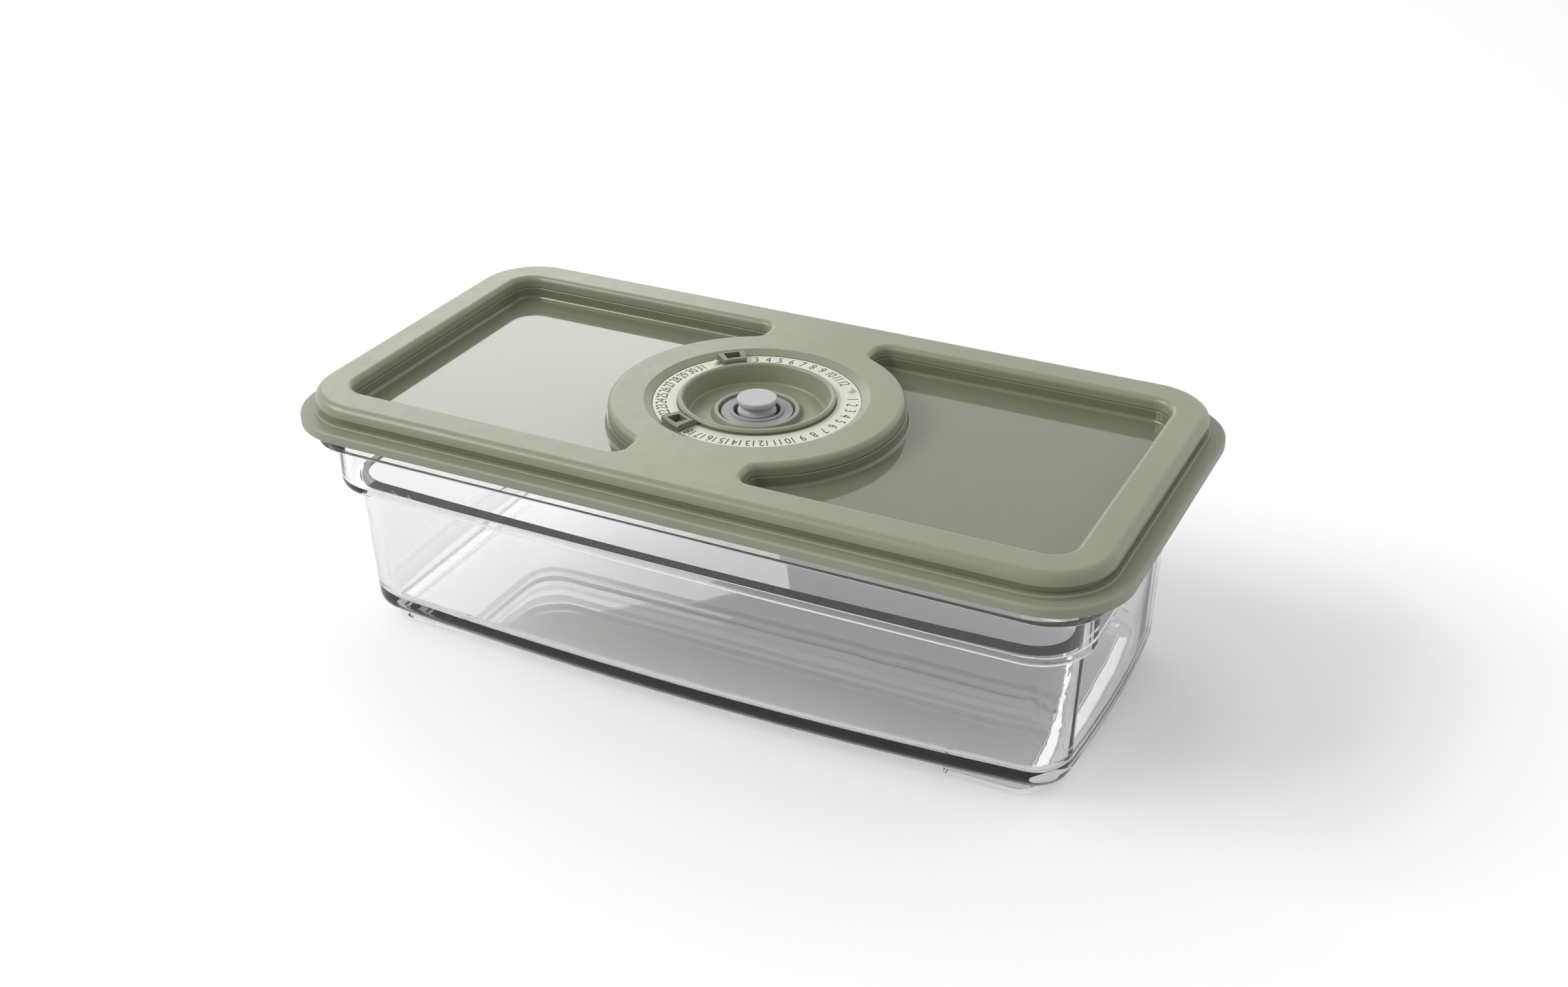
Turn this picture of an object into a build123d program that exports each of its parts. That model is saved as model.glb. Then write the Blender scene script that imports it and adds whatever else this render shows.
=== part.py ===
from build123d import *
import os

# Vacuum seal container: a clear moulded tub, a sage lid with two recessed glossy trays,
# a date dial with two sliding markers, and a release valve in a round pump recess.
# Millimetres. X runs along the long side, Y to the back, Z up.
# The origin is the middle of the footprint, on the surface that the feet stand on.

# Overall sizes
overall_length = 300.0
overall_width = 152.0
flange_corner = 27.0
lid_edge_z = 82.7

# Tub: each outline is set in from the one above it, the rim lip from the lid's edge
lip_inset_x = 6.4
lip_inset_y = 5.0
collar_inset_x = 4.1
collar_inset_y = 3.9
shoulder_inset_x = 4.1
shoulder_inset_y = 5.3
base_inset_x = 0.3
base_inset_y = 0.7
wall = 3.6
floor_thickness = 5.0
foot_height = 4.0
foot_width = 6.0
foot_inset_x = 9.6
foot_inset_y = 8.3
foot_corner = 9.0
foot_arm = 32.0
foot_sink = 1.0
foot_edge_round = 0.8
base_bow_x = 2.9
base_bow_y = 7.0
base_corner = 12.8
base_edge_round = 6.0
inner_base_round = 5.0
shoulder_bow_x = 1.2
shoulder_bow_y = 2.6
shoulder_corner = 17.0
collar_bow_x = 0.4
collar_bow_y = 1.2
collar_corner = 19.6
collar_height = 18.7
collar_edge_round = 2.6
inner_ledge_rise = 2.5
lip_corner = 19.5
lip_height = 7.0
lip_round = 0.9

# Seal ring
flange_height = 3.4
flange_round = 1.0
skirt_wall = 3.5
web_lift = 0.8
seat_gap = 0.3
seal_step = 1.2
seal_step_reach = 0.7
seal_step_round = 0.4
seal_lip_clearance = 0.4
seal_inner_gap = 0.2

# Lid frame
frame_inset_x = 5.9
frame_inset_y = 4.7
frame_corner = 22.6
frame_band_height = 4.0
groove_height = 2.8
groove_depth = 2.0
frame_wall = 2.2
frame_top_thickness = 2.2
frame_edge_round = 3.0
window_border_x = 12.8
window_border_y = 14.0
window_corner = 8.5
window_wall = 2.0
window_edge_round = 2.0
window_end_width = 10.94
window_end_corner = 5.0
window_tip_round = 3.4
boss_border = 12.3
dial_bevel = 2.8
dial_seat_depth = 3.2
dial_wall_height = 1.7
dial_mouth_round = 0.4
dial_pot_wall = 2.0
dial_ledge_thickness = 2.0

# Lid panel: a plate in the tub's mouth, raised to a tray floor in each window
plate_drop = 2.0
plate_thickness = 2.5
panel_clearance = 0.9
tray_gap = 0.15
tray_tuck = 0.6
tray_wall = 1.1
tray_lip_round = 0.3
tray_floor_rise = 4.9
tray_floor_thickness = 2.0
tray_wall_rise = 4.2
tray_foot_round = 1.2
vent_hole_radius = 1.5
vent_margin = 3.6
vent_count = 4

# Date dial
dial_width = 8.7
dial_thickness = 1.5
dial_gap = 0.2
stop_radius = 1.25
stop_inset = 3.0
stop_lift = 0.2
month_stop_angle = 142.9
year_end_stop_angle = 37.2

# Date pointers
pointer_gap = 0.15
pointer_rim_gap = 1.4
pointer_overhang = 0.1
pointer_height = 2.35
pointer_span = 16.0
pointer_edge = 0.45
pointer_undercut = 0.4
pointer_bar = 1.25
pointer_inner_bar = 1.7
pointer_window_span = 9.4
tongue_height = 0.5
tongue_hold = 0.35
tongue_groove_depth = 0.65
month_pointer_angle = 132.0
day_pointer_angle = -118.0

# Valve housing: the pump recess
housing_gap = 0.2
recess_radius = 23.7
recess_lean = 0.8
recess_step = 0.35
recess_line_drop = 2.7
rim_lean = 0.9
rim_width = 1.9
rim_rise = 0.2
rim_round = 0.9
recess_depth = 6.8
recess_floor_thickness = 2.0
recess_floor_round = 0.9
housing_foot_wall = 3.4
cup_height = 2.0
cup_lean = 1.1
cup_lip = 1.4
cup_mouth_lean = 0.4
cup_edge_round = 0.45
disc_seat_drop = 0.2
bead_recess_depth = 1.0
guide_web_drop = 7.6
guide_web_thickness = 3.0
hub_wall = 2.3
hub_length = 5.5
web_vent_radius = 0.75
web_vent_reach = 2.9
web_vent_count = 6
floor_vent_radius = 0.7
floor_vent_count = 8

# Valve disc
disc_width = 4.25
disc_edge_gap = 0.55
disc_thickness = 1.3
disc_gap = 0.05
disc_bead_rise = 0.7
disc_bead_width = 1.3
disc_bead_round = 0.35
disc_root_width = 0.9
disc_root_depth = 0.9
disc_root_gap = 0.2

# Release button
button_radius = 7.0
button_top_drop = 0.6
button_rim = 2.0
button_round = 0.6
button_waist_depth = 1.8
button_waist_drop = 3.1
button_foot_inset = 0.3
button_foot_drop = 4.6
button_length = 5.6
button_hole_gap = 1.1
button_well_gap = 0.9
stem_radius = 2.5
stem_tail = 1.05
guide_gap = 0.08
clip_groove_depth = 0.6

# Pieces under the button
spring_reach = 1.2
spring_wire = 0.4
spring_turns = 5
spring_end_gap = 0.1
stem_seal_width = 3.8
stem_seal_edge_gap = 0.4
stem_seal_thickness = 1.6
stem_seal_gap = 0.1
clip_thickness = 0.6
clip_reach = 1.9
clip_gap = 0.05
clip_mouth = 3.4
clip_notch_radius = 0.7

# Hub washer and nut
washer_thickness = 1.2
washer_width = 4.4
nut_height = 3.2
nut_width = 5.4
nut_notch_radius = 1.6
nut_notch_count = 8
nut_gap = 0.1

# One overrun serves every cut
overrun = 5.0

# Half sizes of the outlines, from the outside in
flange_half_x = overall_length / 2
flange_half_y = overall_width / 2
frame_half_x = flange_half_x - frame_inset_x
frame_half_y = flange_half_y - frame_inset_y
window_half_x = frame_half_x - window_border_x
window_half_y = frame_half_y - window_border_y
lip_half_x = flange_half_x - lip_inset_x
lip_half_y = flange_half_y - lip_inset_y
collar_half_x = lip_half_x - collar_inset_x
collar_half_y = lip_half_y - collar_inset_y
shoulder_half_x = collar_half_x - shoulder_inset_x
shoulder_half_y = collar_half_y - shoulder_inset_y
base_half_x = shoulder_half_x - base_inset_x
base_half_y = shoulder_half_y - base_inset_y

# Radii of the recess and the dial, from the recess floor out to the boss
recess_line_radius = recess_radius + recess_lean
rim_inner_radius = recess_line_radius + rim_lean
rim_outer_radius = rim_inner_radius + rim_width
dial_seat_radius = rim_outer_radius + dial_width
dial_mouth_radius = dial_seat_radius + dial_bevel
boss_radius = dial_mouth_radius + boss_border
window_end_x = (boss_radius ** 2 - (window_half_y - window_end_width) ** 2) ** 0.5
stop_circle_radius = dial_seat_radius - stop_inset
pointer_inner_radius = rim_outer_radius + pointer_rim_gap
pointer_outer_radius = dial_seat_radius + pointer_overhang
bore_radius = rim_inner_radius + 2 * housing_gap
housing_radius = bore_radius - housing_gap

# Radii of the valve, from the button and its stem out to the cup
button_waist_radius = button_radius - button_waist_depth
button_foot_radius = button_radius - button_foot_inset
well_radius = button_foot_radius + button_well_gap
disc_hole_radius = button_radius + button_hole_gap
bead_recess_radius = disc_hole_radius + disc_root_width + disc_root_gap
disc_radius = disc_hole_radius + disc_width
disc_seat_radius = disc_radius + disc_edge_gap
cup_mouth_radius = disc_seat_radius + cup_mouth_lean
cup_top_radius = cup_mouth_radius + cup_lip
cup_base_radius = cup_top_radius + cup_lean
floor_vent_circle = (bead_recess_radius + disc_radius) / 2
stem_seal_radius = stem_radius + stem_seal_width
hub_skirt_radius = stem_seal_radius + stem_seal_edge_gap
hub_radius = hub_skirt_radius + hub_wall
web_vent_circle = stem_radius + web_vent_reach
spring_radius = stem_radius + spring_reach
clip_radius = stem_radius + clip_reach
washer_radius = hub_radius + washer_width
nut_radius = hub_radius + nut_width
vent_circle_radius = nut_radius + vent_margin

# Heights worked out from the sizes above
flange_top_z = lid_edge_z + flange_height
seal_top_z = flange_top_z + seal_step
band_low_z = seal_top_z + groove_height
lid_top_z = band_low_z + frame_band_height
web_low_z = lid_edge_z + web_lift
rim_top_z = web_low_z - seat_gap
lip_low_z = rim_top_z - lip_height
collar_low_z = lip_low_z - collar_height
plate_top_z = lid_edge_z - plate_drop
plate_low_z = plate_top_z - plate_thickness
tray_floor_z = plate_top_z + tray_floor_rise
tray_top_z = tray_floor_z + tray_wall_rise
dial_seat_z = lid_top_z - dial_seat_depth
dial_top_z = dial_seat_z + dial_thickness
recess_floor_z = lid_top_z - recess_depth
disc_seat_z = recess_floor_z - disc_seat_drop
web_top_z = recess_floor_z - guide_web_drop
web_low_guide_z = web_top_z - guide_web_thickness
hub_low_z = plate_low_z - hub_length
button_top_z = lid_top_z - button_top_drop
button_foot_z = button_top_z - button_length
seal_top_at_stem_z = web_low_guide_z - stem_seal_gap
clip_top_z = seal_top_at_stem_z - stem_seal_thickness
clip_low_z = clip_top_z - clip_thickness
stem_low_z = clip_low_z - clip_gap - stem_tail


def slab(sketch, low_z, high_z):
    """Extrude a flat outline between two heights."""
    return extrude(Pos(0, 0, low_z) * sketch, high_z - low_z)


def rounded(half_x, half_y, corner):
    """Rectangle with rounded corners, given by its half sizes."""
    return RectangleRounded(2 * half_x, 2 * half_y, corner)


def bowed(half_x, half_y, bow_x, bow_y, corner):
    """Rectangle whose four sides swell outwards by a bow, with rounded corners."""
    end_x = half_x - bow_x
    end_y = half_y - bow_y
    front = ThreePointArc((-end_x, -end_y), (0, -half_y), (end_x, -end_y))
    right = ThreePointArc((end_x, -end_y), (half_x, 0), (end_x, end_y))
    back = ThreePointArc((end_x, end_y), (0, half_y), (-end_x, end_y))
    left = ThreePointArc((-end_x, end_y), (-half_x, 0), (-end_x, -end_y))
    face = make_face([front, right, back, left])
    return fillet(face.vertices(), corner)


def tapered(low_outline, low_z, high_outline, high_z):
    """Solid between two outlines at two heights."""
    return loft([Pos(0, 0, low_z) * low_outline, Pos(0, 0, high_z) * high_outline])


def turned(points):
    """Solid of revolution about Z from a closed profile of radius and height."""
    profile = make_face(Polyline(*[(radius, 0, height) for radius, height in points], close=True))
    return revolve(profile, Axis.Z)


def drum(radius, low_z, high_z):
    """Upright cylinder between two heights."""
    return slab(Circle(radius), low_z, high_z)


def on_circle(radius, count, solid):
    """Copies of a solid, evenly spaced on a circle about Z."""
    return [Rot(0, 0, 360 * index / count) * Pos(radius, 0, 0) * solid for index in range(count)]


def edges_at(solid, height, tolerance_share=0.001):
    """Edges that lie flat at one height."""
    tolerance = tolerance_share * overall_width
    return solid.edges().filter_by_position(Axis.Z, height - tolerance, height + tolerance)


def container_body():
    """Clear tub: feet, bowed lower wall, stepped-out collar and rim lip."""
    base = bowed(base_half_x, base_half_y, base_bow_x, base_bow_y, base_corner)
    shoulder = bowed(shoulder_half_x, shoulder_half_y, shoulder_bow_x, shoulder_bow_y, shoulder_corner)
    collar_low = bowed(collar_half_x, collar_half_y, collar_bow_x, collar_bow_y, collar_corner)
    lower = tapered(base, foot_height, shoulder, collar_low_z)
    lower = fillet(edges_at(lower, foot_height), base_edge_round)
    collar = slab(collar_low, collar_low_z, lip_low_z)
    collar = fillet(edges_at(collar, collar_low_z), collar_edge_round)
    lip = slab(rounded(lip_half_x, lip_half_y, lip_corner), lip_low_z, rim_top_z)
    lip = fillet(edges_at(lip, rim_top_z) + edges_at(lip, lip_low_z), lip_round)
    cavity_low_z = foot_height + floor_thickness
    ledge_z = collar_low_z + inner_ledge_rise
    inner_base = bowed(base_half_x - wall, base_half_y - wall, base_bow_x, base_bow_y, base_corner - wall)
    inner_shoulder = bowed(
        shoulder_half_x - wall, shoulder_half_y - wall, shoulder_bow_x, shoulder_bow_y, shoulder_corner - wall
    )
    cavity = tapered(inner_base, cavity_low_z, inner_shoulder, ledge_z)
    cavity = fillet(edges_at(cavity, cavity_low_z), inner_base_round)
    mouth = rounded(collar_half_x - wall, collar_half_y - wall, collar_corner - wall)
    mouth_cut = slab(mouth, ledge_z, rim_top_z + overrun)
    mouth_cut = fillet(edges_at(mouth_cut, ledge_z), lip_round)
    body = lower + collar + lip - cavity - mouth_cut
    foot_outer = rounded(base_half_x - foot_inset_x, base_half_y - foot_inset_y, foot_corner)
    foot_ring = foot_outer - offset(foot_outer, -foot_width)
    arm_end = base_half_x - foot_inset_x - foot_arm
    middle = Rectangle(2 * arm_end, overall_width)
    for side in (foot_ring - middle).faces():
        outline = fillet(side.vertices().filter_by_position(Axis.X, -arm_end - foot_sink, arm_end + foot_sink),
                         foot_width / 3)
        foot = slab(outline, 0, foot_height + foot_sink)
        foot = fillet(edges_at(foot, 0), foot_edge_round)
        body += foot
    return body


def flange_outline():
    """Outer outline of the lid's flange."""
    return rounded(flange_half_x, flange_half_y, flange_corner)


def frame_outline():
    """Outer outline of the lid frame's side band."""
    return rounded(frame_half_x, frame_half_y, frame_corner)


def window_outline(side):
    """One window opening; side is 1 on the right and -1 on the left."""
    length = window_half_x - window_end_x
    centre_x = window_end_x + length / 2
    panel = Pos(centre_x, 0) * Rectangle(length, 2 * window_half_y)
    far = panel.vertices().sort_by(Axis.X)[-2:]
    panel = fillet(far, window_corner)
    near = panel.vertices().sort_by(Axis.X)[:2]
    panel = fillet(near, window_end_corner)
    opening = panel - Circle(boss_radius)
    on_boss = [tip for tip in opening.vertices() if abs(Vector(tip.X, tip.Y).length - boss_radius) < tray_gap]
    opening = fillet(on_boss, window_tip_round)
    return opening if side > 0 else mirror(opening, Plane.YZ)


def windows():
    """Both window openings."""
    return window_outline(1) + window_outline(-1)


def seal_ring():
    """Sage silicone ring: skirt round the rim, web over it and a lip inside the mouth."""
    inner = rounded(window_half_x + window_wall + seal_inner_gap,
                    window_half_y + window_wall + seal_inner_gap,
                    window_corner + window_wall + seal_inner_gap)
    lip = rounded(collar_half_x - wall - seal_lip_clearance,
                  collar_half_y - wall - seal_lip_clearance,
                  collar_corner - wall - seal_lip_clearance)
    outer = slab(flange_outline(), lid_edge_z, flange_top_z)
    outer = fillet(edges_at(outer, flange_top_z), flange_round)
    step = slab(offset(frame_outline(), seal_step_reach), web_low_z, seal_top_z)
    step = fillet(edges_at(step, seal_top_z), seal_step_round)
    skirt_cut = slab(offset(flange_outline(), -skirt_wall), lid_edge_z - overrun, web_low_z)
    ring = outer - skirt_cut + step + slab(lip, plate_top_z, web_low_z)
    return ring - slab(inner, plate_top_z - overrun, lid_top_z)


def lid_frame():
    """Sage frame: top with two windows, side band, neck, window walls and dial pot."""
    openings = windows()
    top_low_z = lid_top_z - frame_top_thickness
    neck = offset(frame_outline(), -groove_depth)
    core = slab(frame_outline(), band_low_z, lid_top_z)
    core = fillet(edges_at(core, lid_top_z), frame_edge_round)
    core += slab(neck, seal_top_z, band_low_z)
    hollow = offset(neck, -frame_wall)
    core -= slab(hollow, seal_top_z - overrun, top_low_z)
    walls = slab(offset(openings, window_wall), plate_top_z, top_low_z)
    pot = drum(dial_mouth_radius + dial_pot_wall, dial_seat_z - dial_ledge_thickness, top_low_z)
    frame = core + walls + pot
    cut = slab(openings, plate_top_z - overrun, lid_top_z)
    cut += slab(offset(openings, tray_tuck), plate_top_z - overrun, tray_top_z + tray_gap)
    frame -= cut
    frame = fillet(edges_at(frame, lid_top_z), window_edge_round)
    wall_top_z = dial_seat_z + dial_wall_height
    mouth = turned([
        (0, dial_seat_z),
        (dial_seat_radius, dial_seat_z),
        (dial_seat_radius, wall_top_z),
        (dial_mouth_radius, lid_top_z),
        (dial_mouth_radius, lid_top_z + overrun),
        (0, lid_top_z + overrun),
    ])
    frame -= mouth
    frame -= drum(bore_radius, dial_seat_z - overrun, dial_seat_z)
    rim = edges_at(frame, lid_top_z).filter_by(GeomType.CIRCLE)
    mouth_edge = [edge for edge in rim if abs(edge.radius - dial_mouth_radius) < tray_gap]
    return fillet(mouth_edge, dial_mouth_round)


def lid_panel():
    """Glossy inner lid: a plate that rises to a walled tray floor inside each window."""
    outline = rounded(collar_half_x - wall - panel_clearance,
                      collar_half_y - wall - panel_clearance,
                      collar_corner - wall - panel_clearance)
    panel = slab(outline, plate_low_z, plate_top_z)
    underside_z = tray_floor_z - tray_floor_thickness
    for side in (1, -1):
        tray = offset(window_outline(side), tray_tuck - tray_gap)
        inside = offset(tray, -tray_wall)
        pit = slab(inside, tray_floor_z, tray_top_z + overrun)
        pit = fillet(edges_at(pit, tray_floor_z), tray_foot_round)
        hollow = slab(inside, plate_low_z - overrun, underside_z)
        hollow = fillet(edges_at(hollow, underside_z), tray_foot_round)
        block = slab(tray, plate_top_z, tray_top_z) - pit
        panel += fillet(edges_at(block, tray_top_z), tray_lip_round)
        panel -= hollow
    panel -= drum(hub_radius + nut_gap, plate_low_z - overrun, plate_top_z + overrun)
    vent = drum(vent_hole_radius, plate_low_z - overrun, plate_top_z + overrun)
    return panel - on_circle(vent_circle_radius, vent_count, vent)


def dial_ring():
    """Cream ring that carries the numbers, with two domed stops between its two scales."""
    ring = drum(dial_seat_radius - dial_gap, dial_seat_z, dial_top_z)
    ring -= drum(rim_outer_radius + dial_gap, dial_seat_z - overrun, dial_top_z + overrun)
    for angle in (month_stop_angle, year_end_stop_angle):
        spot = Rot(0, 0, angle) * Pos(stop_circle_radius, 0, 0)
        ring += spot * Pos(0, 0, dial_top_z + stop_lift) * Sphere(stop_radius)
        ring -= spot * slab(Circle(stop_radius + stop_lift), dial_seat_z - overrun, dial_seat_z)
    return ring


def pointer(angle):
    """Sliding marker: a small window frame that a tongue holds in the recess rim's groove."""
    low_z = dial_top_z + pointer_gap
    high_z = low_z + pointer_height
    tongue_low_z = low_z + pointer_gap
    tongue_radius = rim_outer_radius - tongue_hold
    profile = make_face(Polyline(
        (pointer_inner_radius - pointer_undercut, 0, low_z),
        (pointer_outer_radius - pointer_undercut, 0, low_z),
        (pointer_outer_radius, 0, low_z + pointer_edge),
        (pointer_outer_radius, 0, high_z - pointer_edge),
        (pointer_outer_radius - pointer_edge, 0, high_z),
        (pointer_inner_radius + pointer_edge, 0, high_z),
        (pointer_inner_radius, 0, high_z - pointer_edge),
        (pointer_inner_radius - pointer_undercut, 0, tongue_low_z + tongue_height),
        (tongue_radius, 0, tongue_low_z + tongue_height),
        (tongue_radius, 0, tongue_low_z),
        (pointer_inner_radius - pointer_undercut, 0, tongue_low_z),
        close=True,
    ))
    block = Rot(0, 0, -pointer_span / 2) * revolve(profile, Axis.Z, pointer_span)
    window = make_face(Polyline(
        (pointer_inner_radius + pointer_inner_bar, 0, low_z - overrun),
        (pointer_outer_radius - pointer_bar, 0, low_z - overrun),
        (pointer_outer_radius - pointer_bar, 0, high_z + overrun),
        (pointer_inner_radius + pointer_inner_bar, 0, high_z + overrun),
        close=True,
    ))
    block -= Rot(0, 0, -pointer_window_span / 2) * revolve(window, Axis.Z, pointer_window_span)
    return Rot(0, 0, angle) * block


def valve_housing():
    """Sage cup through the lid: recess rim, floor, valve cup, hub and stem guide."""
    rim_top = lid_top_z + rim_rise
    line_z = lid_top_z - recess_line_drop
    floor_low_z = recess_floor_z - recess_floor_thickness
    groove_low_z = dial_top_z + pointer_gap
    groove_high_z = groove_low_z + pointer_gap + tongue_height + pointer_gap
    groove_radius = rim_outer_radius - tongue_groove_depth
    housing = turned([
        (0, floor_low_z),
        (housing_radius - housing_foot_wall, floor_low_z),
        (housing_radius - housing_foot_wall, plate_top_z),
        (housing_radius, plate_top_z),
        (housing_radius, dial_seat_z),
        (rim_outer_radius, dial_seat_z),
        (rim_outer_radius, groove_low_z),
        (groove_radius, groove_low_z),
        (groove_radius, groove_high_z),
        (rim_outer_radius, groove_high_z),
        (rim_outer_radius, rim_top),
        (rim_inner_radius, rim_top),
        (recess_line_radius + recess_step, line_z),
        (recess_line_radius, line_z),
        (recess_radius, recess_floor_z),
        (cup_base_radius, recess_floor_z),
        (cup_top_radius, recess_floor_z + cup_height),
        (cup_mouth_radius, recess_floor_z + cup_height),
        (disc_seat_radius, disc_seat_z),
        (0, disc_seat_z),
    ])
    housing = fillet(edges_at(housing, rim_top), rim_round)
    housing = fillet(edges_at(housing, recess_floor_z + cup_height), cup_edge_round)
    floor_edges = edges_at(housing, recess_floor_z).filter_by(GeomType.CIRCLE)
    housing = fillet([edge for edge in floor_edges if edge.radius > disc_radius], recess_floor_round)
    housing += drum(hub_radius, hub_low_z, floor_low_z)
    housing -= drum(bead_recess_radius, disc_seat_z - bead_recess_depth, disc_seat_z + overrun)
    housing -= drum(well_radius, web_top_z, disc_seat_z)
    housing -= drum(stem_radius + guide_gap, hub_low_z - overrun, web_top_z)
    housing -= drum(hub_skirt_radius, hub_low_z - overrun, web_low_guide_z)
    web_vent = drum(web_vent_radius, hub_low_z - overrun, web_top_z + overrun / 10)
    housing -= on_circle(web_vent_circle, web_vent_count, web_vent)
    floor_vent = drum(floor_vent_radius, floor_low_z - overrun / 10, disc_seat_z + overrun)
    return housing - on_circle(floor_vent_circle, floor_vent_count, floor_vent)


def valve_disc():
    """Elastic disc that lets air out under the pump: flat flap, raised lip and a root."""
    low_z = disc_seat_z + disc_gap
    top_z = low_z + disc_thickness
    disc = turned([
        (disc_hole_radius, low_z - disc_root_depth),
        (disc_hole_radius + disc_root_width, low_z - disc_root_depth),
        (disc_hole_radius + disc_root_width, low_z),
        (disc_radius, low_z),
        (disc_radius, top_z),
        (disc_hole_radius + disc_bead_width, top_z),
        (disc_hole_radius + disc_bead_width, top_z + disc_bead_rise),
        (disc_hole_radius, top_z + disc_bead_rise),
    ])
    return fillet(edges_at(disc, top_z + disc_bead_rise), disc_bead_round)


def valve_button():
    """Grey mushroom button: flat head, drawn-in waist, flared foot and long stem."""
    rim_low_z = button_top_z - button_rim
    waist_z = button_top_z - button_waist_drop
    flare_z = button_top_z - button_foot_drop
    groove_low_z = clip_low_z - clip_gap
    groove_radius = stem_radius - clip_groove_depth
    head = Line((0, 0, button_top_z), (button_radius, 0, button_top_z))
    side = Line((button_radius, 0, button_top_z), (button_radius, 0, rim_low_z))
    under = Line((button_radius, 0, rim_low_z), (button_waist_radius + button_round, 0, rim_low_z))
    waist = ThreePointArc(
        (button_waist_radius + button_round, 0, rim_low_z),
        (button_waist_radius, 0, waist_z),
        (button_foot_radius, 0, flare_z),
    )
    rest = Polyline(
        (button_foot_radius, 0, flare_z),
        (button_foot_radius, 0, button_foot_z),
        (stem_radius, 0, button_foot_z),
        (stem_radius, 0, clip_top_z),
        (groove_radius, 0, clip_top_z),
        (groove_radius, 0, groove_low_z),
        (stem_radius, 0, groove_low_z),
        (stem_radius, 0, stem_low_z),
        (0, 0, stem_low_z),
        (0, 0, button_top_z),
    )
    button = revolve(make_face([head, side, under, waist] + rest.edges()), Axis.Z)
    rims = edges_at(button, button_top_z) + edges_at(button, rim_low_z).sort_by(SortBy.RADIUS)[-1:]
    return fillet(rims, button_round)


def button_spring():
    """Small return spring between the guide web and the button's foot."""
    low_z = web_top_z + spring_wire + spring_end_gap
    high_z = button_foot_z - spring_wire - spring_end_gap
    rise = high_z - low_z
    path = Pos(0, 0, low_z) * Helix(rise / spring_turns, rise, spring_radius)
    start = Plane(origin=path @ 0, z_dir=path % 0)
    return sweep(start * Circle(spring_wire), path, is_frenet=True)


def stem_seal():
    """Soft washer that closes the web's air holes from below."""
    seal = drum(stem_seal_radius, clip_top_z, seal_top_at_stem_z)
    return seal - drum(stem_radius + clip_gap, clip_top_z - overrun, seal_top_at_stem_z + overrun)


def stem_clip():
    """Open retaining clip in the stem's groove, under the seal."""
    groove_radius = stem_radius - clip_groove_depth + clip_gap
    ring = Circle(clip_radius) - Circle(groove_radius)
    ring -= Pos(clip_radius, 0) * Rectangle(2 * clip_radius, clip_mouth)
    for angle in (90, 180, 270):
        ring -= Rot(0, 0, angle) * Pos(groove_radius, 0) * Circle(clip_notch_radius)
    return slab(ring, clip_low_z, clip_top_z)


def hub_washer():
    """Flat silicone washer between the lid panel and the nut."""
    ring = Circle(washer_radius) - Circle(hub_radius + nut_gap)
    return slab(ring, plate_low_z - washer_thickness, plate_low_z)


def hub_nut():
    """Ring nut with grip notches that clamps the valve housing to the lid panel."""
    high_z = plate_low_z - washer_thickness
    ring = Circle(nut_radius) - Circle(hub_radius + nut_gap)
    ring -= on_circle(nut_radius, nut_notch_count, Circle(nut_notch_radius))
    return slab(ring, high_z - nut_height, high_z)


pieces = {
    "container_body": container_body(),
    "seal_ring": seal_ring(),
    "lid_frame": lid_frame(),
    "lid_panel": lid_panel(),
    "dial_ring": dial_ring(),
    "month_pointer": pointer(month_pointer_angle),
    "day_pointer": pointer(day_pointer_angle),
    "valve_housing": valve_housing(),
    "valve_disc": valve_disc(),
    "valve_button": valve_button(),
    "button_spring": button_spring(),
    "stem_seal": stem_seal(),
    "stem_clip": stem_clip(),
    "hub_washer": hub_washer(),
    "hub_nut": hub_nut(),
}

os.makedirs("parts", exist_ok=True)
for name, piece in pieces.items():
    piece.label = name
    export_step(piece, f"parts/{name}.step")
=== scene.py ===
import math

import bpy
from mathutils import Euler, Matrix, Vector


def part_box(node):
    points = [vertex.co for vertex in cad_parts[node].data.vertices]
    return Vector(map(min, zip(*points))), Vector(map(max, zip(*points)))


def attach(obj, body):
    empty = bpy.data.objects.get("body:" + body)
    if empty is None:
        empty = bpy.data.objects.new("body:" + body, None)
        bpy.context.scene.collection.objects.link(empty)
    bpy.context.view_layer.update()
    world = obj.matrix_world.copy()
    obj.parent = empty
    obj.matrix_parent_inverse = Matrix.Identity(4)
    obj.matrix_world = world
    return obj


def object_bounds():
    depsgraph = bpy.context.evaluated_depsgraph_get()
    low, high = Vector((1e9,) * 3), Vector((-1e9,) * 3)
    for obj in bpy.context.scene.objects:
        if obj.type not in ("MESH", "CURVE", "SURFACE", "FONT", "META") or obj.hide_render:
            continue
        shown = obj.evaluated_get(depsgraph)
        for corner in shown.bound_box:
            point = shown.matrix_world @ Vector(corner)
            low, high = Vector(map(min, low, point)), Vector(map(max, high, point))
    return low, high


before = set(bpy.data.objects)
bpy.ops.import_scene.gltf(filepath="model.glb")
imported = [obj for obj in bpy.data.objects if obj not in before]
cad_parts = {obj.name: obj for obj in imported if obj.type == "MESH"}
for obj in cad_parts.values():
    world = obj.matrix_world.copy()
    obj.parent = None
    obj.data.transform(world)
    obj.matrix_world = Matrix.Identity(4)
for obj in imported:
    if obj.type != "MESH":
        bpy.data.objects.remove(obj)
solid_low, solid_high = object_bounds()

# Low clear food container under a sage lid with two sunken glossy trays. A date dial with
# two sliding markers goes round the recess that holds the release valve.
# Metres. X runs along the long side, Y to the back, Z up.

MM = 0.001

# Camera
CAMERA_PLACE = (0.27079, -0.53350, 0.38250)
CAMERA_TILT = (61.3567, 0.0293, 26.0098)
CAMERA_LENS = 44.4598
SENSOR_WIDTH = 36.0
NEAREST_SEEN = 0.01
FARTHEST_SEEN = 50.0

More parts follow.
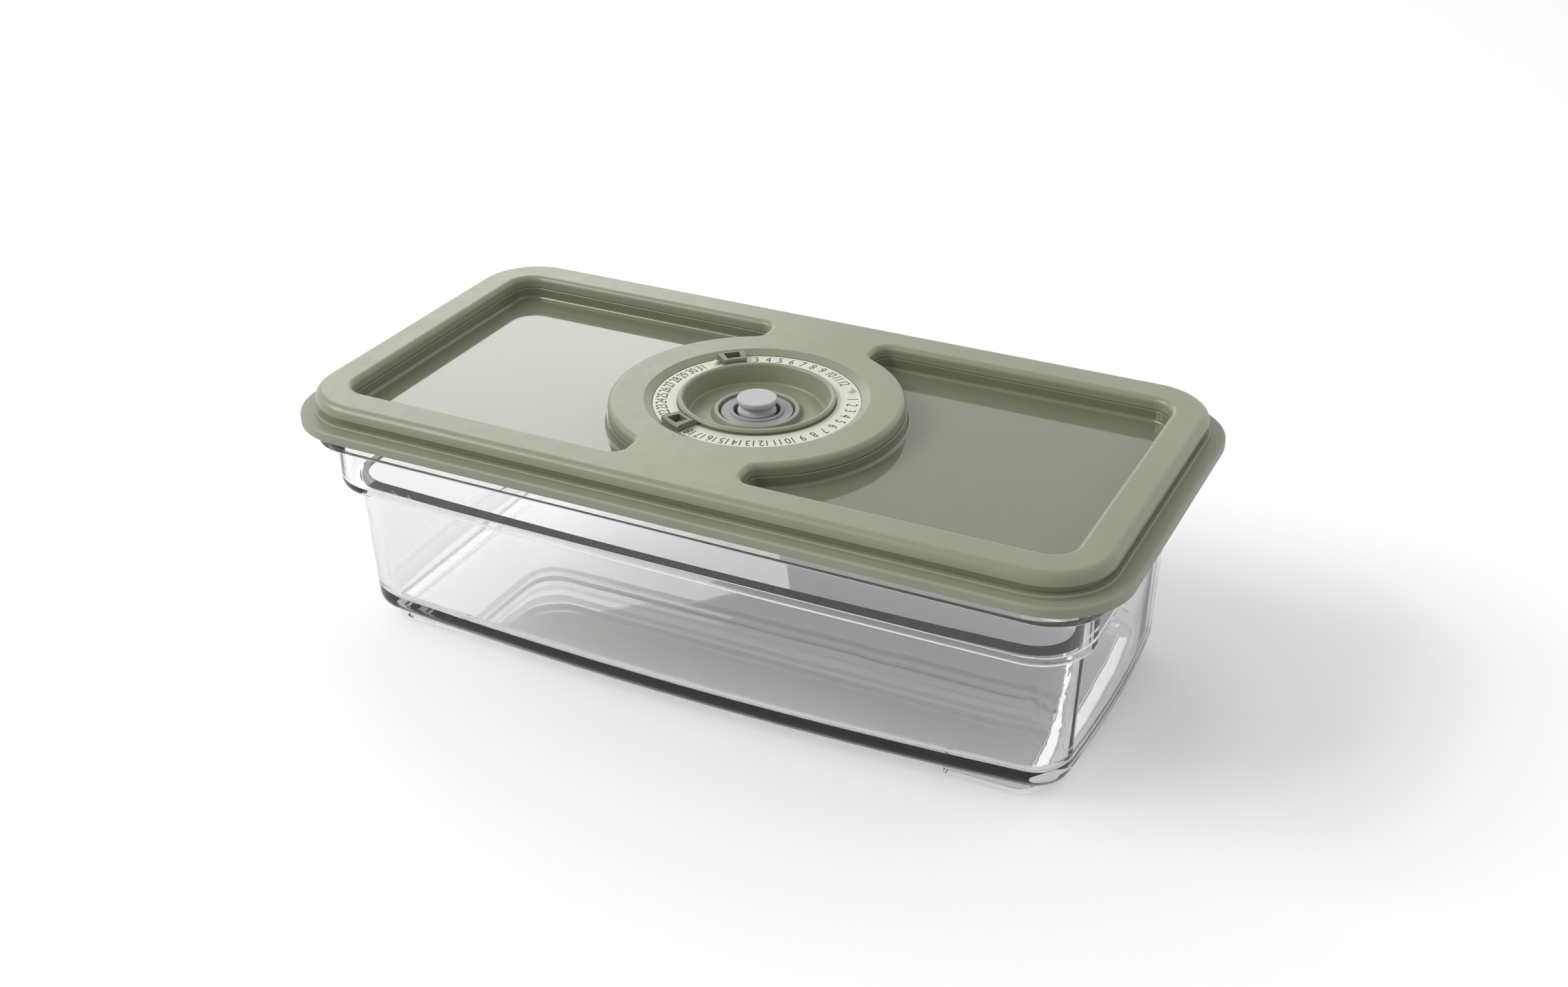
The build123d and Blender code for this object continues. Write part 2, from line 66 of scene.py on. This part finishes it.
# Studio
FLOOR_HALF = 6.0
FLOOR_SEEN = 0.99
FLOOR_LIT = 0.55
HEIGHT_REACH = (0.0, 0.9)
HEIGHT_LEVELS = (1.06, 0.59)
BACK_REACH = (-0.70, 0.70)
BACK_LEVELS = (0.75, 1.30)
KEY_PLACE = (-2.00, -1.25, 1.94)
KEY_SIZE = (2.1, 1.2)
KEY_POWER = 55.0
TOP_PLACE = (-1.19, -0.43, 2.81)
TOP_SIZE = (2.0, 2.0)
TOP_POWER = 3.0
MIRRORED_PLACE = (-1.812, 2.13, 1.306)
MIRRORED_SIZE = (1.37, 0.78)
MIRRORED_POWER = 7.4

# Finishes: noise scales are repeats per metre
NOISE_REACH = (0.3, 0.7)
DRIFT_SCALE = 38.0
GLOSS_SCALE = 260.0
GLOSS_UNDER = 0.03
GLOSS_OVER = 0.04
GRAIN_STRENGTH = 0.35
MOULD_GRAIN = 5200.0
SILICONE_GRAIN = 4200.0
TRAY_GRAIN = 320.0
TRAY_SHINE = 0.75

# Clear tub
TUB_IOR = 1.5
TUB_DEPTH_TINT = 0.62
TUB_DEPTH_DENSITY = 48.0
TUB_SHADOW_TINT = 0.91
TUB_SMEAR_SCALE = 14.0
TUB_SMEAR = 0.006
TUB_WAVE_SCALE = 22.0
TUB_WAVE_STRENGTH = 0.5
TUB_WAVE_DEPTH = 0.004 * MM

# Spring wire
WIRE_TONE_SCALE = 900.0
WIRE_GLOSS_SCALE = 2400.0
WIRE_GLOSS = (0.22, 0.36)

# Dial numbers
STOP_RISE = 1.45 * MM
NUMBER_HEIGHT = 3.8 * MM
NUMBER_RADIUS = 32.6 * MM
NUMBER_RAISE = 0.03 * MM
NUMBER_SINK = 0.02 * MM
NUMBER_NARROW = 0.74
DIGIT_SHARE = 0.69
DIGIT_SPACING = 0.92
OUTLINE_STEPS = 4
MONTHS = 12
MONTH_START = 132.0
MONTH_STEP = 7.52
DAYS = 31
DAY_START = 26.1
DAY_STEP = 7.753


def srgb(red, green, blue):
    """Linear colour from 0 to 255 display values."""
    linear = []
    for value in (red, green, blue):
        share = value / 255
        linear.append(share / 12.92 if share <= 0.04045 else ((share + 0.055) / 1.055) ** 2.4)
    return (*linear, 1.0)


def new_material(name):
    """Empty node material; gives the material, its nodes, its links and its output."""
    material = bpy.data.materials.new(name)
    material.use_nodes = True
    nodes = material.node_tree.nodes
    nodes.clear()
    return material, nodes, material.node_tree.links, nodes.new("ShaderNodeOutputMaterial")


def noise(nodes, links, scale, detail=2.0, roughness=0.5):
    """Noise over the object's own coordinates, repeats per metre."""
    place = nodes.new("ShaderNodeTexCoord")
    node = nodes.new("ShaderNodeTexNoise")
    node.inputs["Scale"].default_value = scale
    node.inputs["Detail"].default_value = detail
    node.inputs["Roughness"].default_value = roughness
    links.new(place.outputs["Object"], node.inputs["Vector"])
    return node.outputs["Fac"]


def spread(nodes, links, source, low, high):
    """Maps a noise onto a range."""
    node = nodes.new("ShaderNodeMapRange")
    node.inputs["From Min"].default_value = NOISE_REACH[0]
    node.inputs["From Max"].default_value = NOISE_REACH[1]
    node.inputs["To Min"].default_value = low
    node.inputs["To Max"].default_value = high
    links.new(source, node.inputs["Value"])
    return node.outputs["Result"]


def between(nodes, links, share, first, second):
    """Colour between two, by a share."""
    node = nodes.new("ShaderNodeMix")
    node.data_type = "RGBA"
    node.inputs["A"].default_value = first
    node.inputs["B"].default_value = second
    links.new(share, node.inputs["Factor"])
    return node.outputs["Result"]


def grain(nodes, links, shader, source, strength, depth):
    """Raises a fine texture on a shader's surface."""
    node = nodes.new("ShaderNodeBump")
    node.inputs["Strength"].default_value = strength
    node.inputs["Distance"].default_value = depth
    links.new(source, node.inputs["Height"])
    links.new(node.outputs["Normal"], shader.inputs["Normal"])


def plastic(name, colour, shade, rough, grain_scale, grain_depth, shine=0.5):
    """Moulded plastic or silicone: slight colour drift, uneven gloss and a fine skin."""
    material, nodes, links, output = new_material(name)
    shader = nodes.new("ShaderNodeBsdfPrincipled")
    drift = spread(nodes, links, noise(nodes, links, DRIFT_SCALE, 3.0), 0.0, 1.0)
    links.new(between(nodes, links, drift, colour, shade), shader.inputs["Base Color"])
    patches = noise(nodes, links, GLOSS_SCALE, 4.0)
    gloss = spread(nodes, links, patches, rough - GLOSS_UNDER, rough + GLOSS_OVER)
    links.new(gloss, shader.inputs["Roughness"])
    shader.inputs["Specular IOR Level"].default_value = shine
    grain(nodes, links, shader, noise(nodes, links, grain_scale, 2.0), GRAIN_STRENGTH, grain_depth)
    links.new(shader.outputs["BSDF"], output.inputs["Surface"])
    return material


def clear(name):
    """Clear moulded wall that lets lamps through and darkens along its depth."""
    material, nodes, links, output = new_material(name)
    shader = nodes.new("ShaderNodeBsdfPrincipled")
    shader.inputs["Base Color"].default_value = (1.0, 1.0, 1.0, 1.0)
    shader.inputs["Transmission Weight"].default_value = 1.0
    shader.inputs["IOR"].default_value = TUB_IOR
    smear = spread(nodes, links, noise(nodes, links, TUB_SMEAR_SCALE, 2.0), 0.0, TUB_SMEAR)
    links.new(smear, shader.inputs["Roughness"])
    waves = noise(nodes, links, TUB_WAVE_SCALE, 1.0)
    grain(nodes, links, shader, waves, TUB_WAVE_STRENGTH, TUB_WAVE_DEPTH)
    through = nodes.new("ShaderNodeBsdfTransparent")
    through.inputs["Color"].default_value = (TUB_SHADOW_TINT, TUB_SHADOW_TINT, TUB_SHADOW_TINT, 1.0)
    path = nodes.new("ShaderNodeLightPath")
    mix = nodes.new("ShaderNodeMixShader")
    links.new(path.outputs["Is Shadow Ray"], mix.inputs["Fac"])
    links.new(shader.outputs["BSDF"], mix.inputs[1])
    links.new(through.outputs["BSDF"], mix.inputs[2])
    links.new(mix.outputs["Shader"], output.inputs["Surface"])
    depth = nodes.new("ShaderNodeVolumeAbsorption")
    depth.inputs["Color"].default_value = (TUB_DEPTH_TINT, TUB_DEPTH_TINT, TUB_DEPTH_TINT, 1.0)
    depth.inputs["Density"].default_value = TUB_DEPTH_DENSITY
    links.new(depth.outputs["Volume"], output.inputs["Volume"])
    return material


def steel(name):
    """Drawn spring wire."""
    material, nodes, links, output = new_material(name)
    shader = nodes.new("ShaderNodeBsdfPrincipled")
    tone = spread(nodes, links, noise(nodes, links, WIRE_TONE_SCALE, 3.0), 0.0, 1.0)
    colour = between(nodes, links, tone, srgb(200, 200, 204), srgb(168, 168, 172))
    links.new(colour, shader.inputs["Base Color"])
    shader.inputs["Metallic"].default_value = 1.0
    drawn = spread(nodes, links, noise(nodes, links, WIRE_GLOSS_SCALE, 2.0), *WIRE_GLOSS)
    links.new(drawn, shader.inputs["Roughness"])
    links.new(shader.outputs["BSDF"], output.inputs["Surface"])
    return material


sage = plastic("sage_plastic", srgb(135, 138, 117), srgb(132, 135, 113), 0.32, MOULD_GRAIN, 0.003 * MM)
sage_soft = plastic(
    "sage_silicone", srgb(141, 143, 126), srgb(137, 139, 121), 0.48, SILICONE_GRAIN, 0.02 * MM,
)
sage_gloss = plastic(
    "sage_gloss", srgb(114, 117, 97), srgb(112, 115, 95), 0.05, TRAY_GRAIN, 0.002 * MM, TRAY_SHINE,
)
cream = plastic("cream_plastic", srgb(209, 210, 196), srgb(204, 205, 190), 0.45, MOULD_GRAIN, 0.01 * MM)
olive = plastic("olive_plastic", srgb(104, 106, 86), srgb(98, 100, 80), 0.36, MOULD_GRAIN, 0.01 * MM)
lilac = plastic(
    "lilac_silicone", srgb(156, 154, 158), srgb(150, 148, 152), 0.46, SILICONE_GRAIN, 0.01 * MM,
)
grey = plastic("grey_plastic", srgb(174, 174, 175), srgb(170, 170, 171), 0.38, MOULD_GRAIN, 0.01 * MM)
ink = plastic("number_ink", srgb(54, 55, 47), srgb(48, 49, 42), 0.55, MOULD_GRAIN, 0.004 * MM)
tub_clear = clear("clear_tub")
wire = steel("spring_steel")

finishes = {
    "container_body": tub_clear,
    "seal_ring": sage_soft,
    "lid_frame": sage,
    "lid_panel": sage_gloss,
    "dial_ring": cream,
    "month_pointer": olive,
    "day_pointer": olive,
    "valve_housing": sage,
    "valve_disc": lilac,
    "valve_button": grey,
    "button_spring": wire,
    "stem_seal": lilac,
    "stem_clip": wire,
    "hub_washer": lilac,
    "hub_nut": sage,
}
for node, finish in finishes.items():
    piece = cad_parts[node]
    piece.data.materials.clear()
    piece.data.materials.append(finish)
    for polygon in piece.data.polygons:
        polygon.material_index = 0


def printed_number(value, angle, height_z):
    """One number on the dial, its top towards the rim, as a raised outline."""
    curve = bpy.data.curves.new(f"number_curve_{value}", "FONT")
    curve.body = str(value)
    curve.size = NUMBER_HEIGHT / DIGIT_SHARE
    curve.align_x = "CENTER"
    curve.align_y = "CENTER"
    curve.space_character = DIGIT_SPACING
    curve.extrude = (NUMBER_RAISE + NUMBER_SINK) / 2
    curve.resolution_u = OUTLINE_STEPS
    holder = bpy.data.objects.new(f"number_{value}", curve)
    bpy.context.scene.collection.objects.link(holder)
    bpy.context.view_layer.update()
    shaped = holder.evaluated_get(bpy.context.evaluated_depsgraph_get())
    mesh = bpy.data.meshes.new_from_object(shaped)
    bpy.data.objects.remove(holder)
    bpy.data.curves.remove(curve)
    turn = math.radians(angle)
    spot = (NUMBER_RADIUS * math.cos(turn), NUMBER_RADIUS * math.sin(turn), height_z)
    upright = Matrix.Rotation(turn - math.pi / 2, 4, "Z")
    narrowed = Matrix.Diagonal((NUMBER_NARROW, 1, 1, 1))
    mesh.transform(Matrix.Translation(spot) @ upright @ narrowed)
    return mesh


def join_meshes(name, meshes, finish):
    """One object from several meshes."""
    verts = []
    faces = []
    for mesh in meshes:
        start = len(verts)
        verts += [vertex.co.copy() for vertex in mesh.vertices]
        faces += [[start + corner for corner in polygon.vertices] for polygon in mesh.polygons]
        bpy.data.meshes.remove(mesh)
    joined = bpy.data.meshes.new(name)
    joined.from_pydata(verts, [], faces)
    joined.materials.append(finish)
    item = bpy.data.objects.new(name, joined)
    bpy.context.scene.collection.objects.link(item)
    return item


dial_low, dial_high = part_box("dial_ring")
dial_face_z = dial_high.z - STOP_RISE
number_z = dial_face_z + (NUMBER_RAISE - NUMBER_SINK) / 2
month_meshes = [
    printed_number(index + 1, MONTH_START - MONTH_STEP * index, number_z) for index in range(MONTHS)
]
day_meshes = [
    printed_number(index + 1, DAY_START - DAY_STEP * index, number_z) for index in range(DAYS)
]
for label, meshes in (("month_numbers", month_meshes), ("day_numbers", day_meshes)):
    numbers = join_meshes(label, meshes, ink)
    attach(numbers, "lid")


def floor_material():
    """White floor: full white to the eye, about half of that in the light that it throws back."""
    material, nodes, links, output = new_material("studio_floor")
    path = nodes.new("ShaderNodeLightPath")
    seen = nodes.new("ShaderNodeMath")
    seen.operation = "MAXIMUM"
    links.new(path.outputs["Is Camera Ray"], seen.inputs[0])
    glossy = nodes.new("ShaderNodeMath")
    glossy.operation = "MAXIMUM"
    links.new(path.outputs["Is Glossy Ray"], glossy.inputs[0])
    links.new(path.outputs["Is Transmission Ray"], glossy.inputs[1])
    links.new(glossy.outputs["Value"], seen.inputs[1])
    tone = between(
        nodes, links, seen.outputs["Value"],
        (FLOOR_LIT, FLOOR_LIT, FLOOR_LIT, 1.0), (FLOOR_SEEN, FLOOR_SEEN, FLOOR_SEEN, 1.0),
    )
    shader = nodes.new("ShaderNodeBsdfDiffuse")
    links.new(tone, shader.inputs["Color"])
    links.new(shader.outputs["BSDF"], output.inputs["Surface"])
    return material


floor_mesh = bpy.data.meshes.new("floor")
floor_corners = [
    (-FLOOR_HALF, -FLOOR_HALF, 0), (FLOOR_HALF, -FLOOR_HALF, 0),
    (FLOOR_HALF, FLOOR_HALF, 0), (-FLOOR_HALF, FLOOR_HALF, 0),
]
floor_mesh.from_pydata(floor_corners, [], [(0, 1, 2, 3)])
floor_mesh.materials.append(floor_material())
floor = bpy.data.objects.new("floor", floor_mesh)
bpy.context.scene.collection.objects.link(floor)


def softbox(name, place, size, power):
    """Rectangular lamp aimed at the middle of the object."""
    lamp = bpy.data.lights.new(name, "AREA")
    lamp.shape = "RECTANGLE"
    lamp.size = size[0]
    lamp.size_y = size[1]
    lamp.energy = power
    item = bpy.data.objects.new(name, lamp)
    item.location = place
    aim = (solid_low + solid_high) / 2 - Vector(place)
    item.rotation_euler = aim.to_track_quat("-Z", "Y").to_euler()
    bpy.context.scene.collection.objects.link(item)
    return item


softbox("key_softbox", KEY_PLACE, KEY_SIZE, KEY_POWER)
softbox("top_softbox", TOP_PLACE, TOP_SIZE, TOP_POWER)
softbox("mirrored_softbox", MIRRORED_PLACE, MIRRORED_SIZE, MIRRORED_POWER)


def studio_world():
    """Room light, paler low down and at the back; the eye sees white where it looks past the floor."""
    world = bpy.data.worlds.new("studio_world")
    world.use_nodes = True
    nodes = world.node_tree.nodes
    links = world.node_tree.links
    nodes.clear()
    output = nodes.new("ShaderNodeOutputWorld")
    place = nodes.new("ShaderNodeTexCoord")
    parts = nodes.new("ShaderNodeSeparateXYZ")
    links.new(place.outputs["Generated"], parts.inputs["Vector"])
    level = nodes.new("ShaderNodeMath")
    level.operation = "MULTIPLY"
    ramps = (("Z", HEIGHT_REACH, HEIGHT_LEVELS), ("Y", BACK_REACH, BACK_LEVELS))
    for index, (side, reach, levels) in enumerate(ramps):
        ramp = nodes.new("ShaderNodeMapRange")
        ramp.interpolation_type = "SMOOTHSTEP"
        for label, value in zip(("From Min", "From Max", "To Min", "To Max"), reach + levels):
            ramp.inputs[label].default_value = value
        links.new(parts.outputs[side], ramp.inputs["Value"])
        links.new(ramp.outputs["Result"], level.inputs[index])
    room = nodes.new("ShaderNodeBackground")
    room.inputs["Color"].default_value = (1.0, 1.0, 1.0, 1.0)
    links.new(level.outputs["Value"], room.inputs["Strength"])
    seen = nodes.new("ShaderNodeBackground")
    seen.inputs["Color"].default_value = (1.0, 1.0, 1.0, 1.0)
    seen.inputs["Strength"].default_value = 1.0
    path = nodes.new("ShaderNodeLightPath")
    mix = nodes.new("ShaderNodeMixShader")
    links.new(path.outputs["Is Camera Ray"], mix.inputs["Fac"])
    links.new(room.outputs["Background"], mix.inputs[1])
    links.new(seen.outputs["Background"], mix.inputs[2])
    links.new(mix.outputs["Shader"], output.inputs["Surface"])
    bpy.context.scene.world = world


studio_world()

camera_data = bpy.data.cameras.new("camera")
camera_data.sensor_fit = "HORIZONTAL"
camera_data.sensor_width = SENSOR_WIDTH
camera_data.lens = CAMERA_LENS
camera_data.clip_start = NEAREST_SEEN
camera_data.clip_end = FARTHEST_SEEN
camera = bpy.data.objects.new("camera", camera_data)
camera.location = CAMERA_PLACE
camera.rotation_euler = Euler([math.radians(angle) for angle in CAMERA_TILT], "XYZ")
bpy.context.scene.collection.objects.link(camera)
bpy.context.scene.camera = camera

bpy.context.scene.view_settings.view_transform = "Standard"
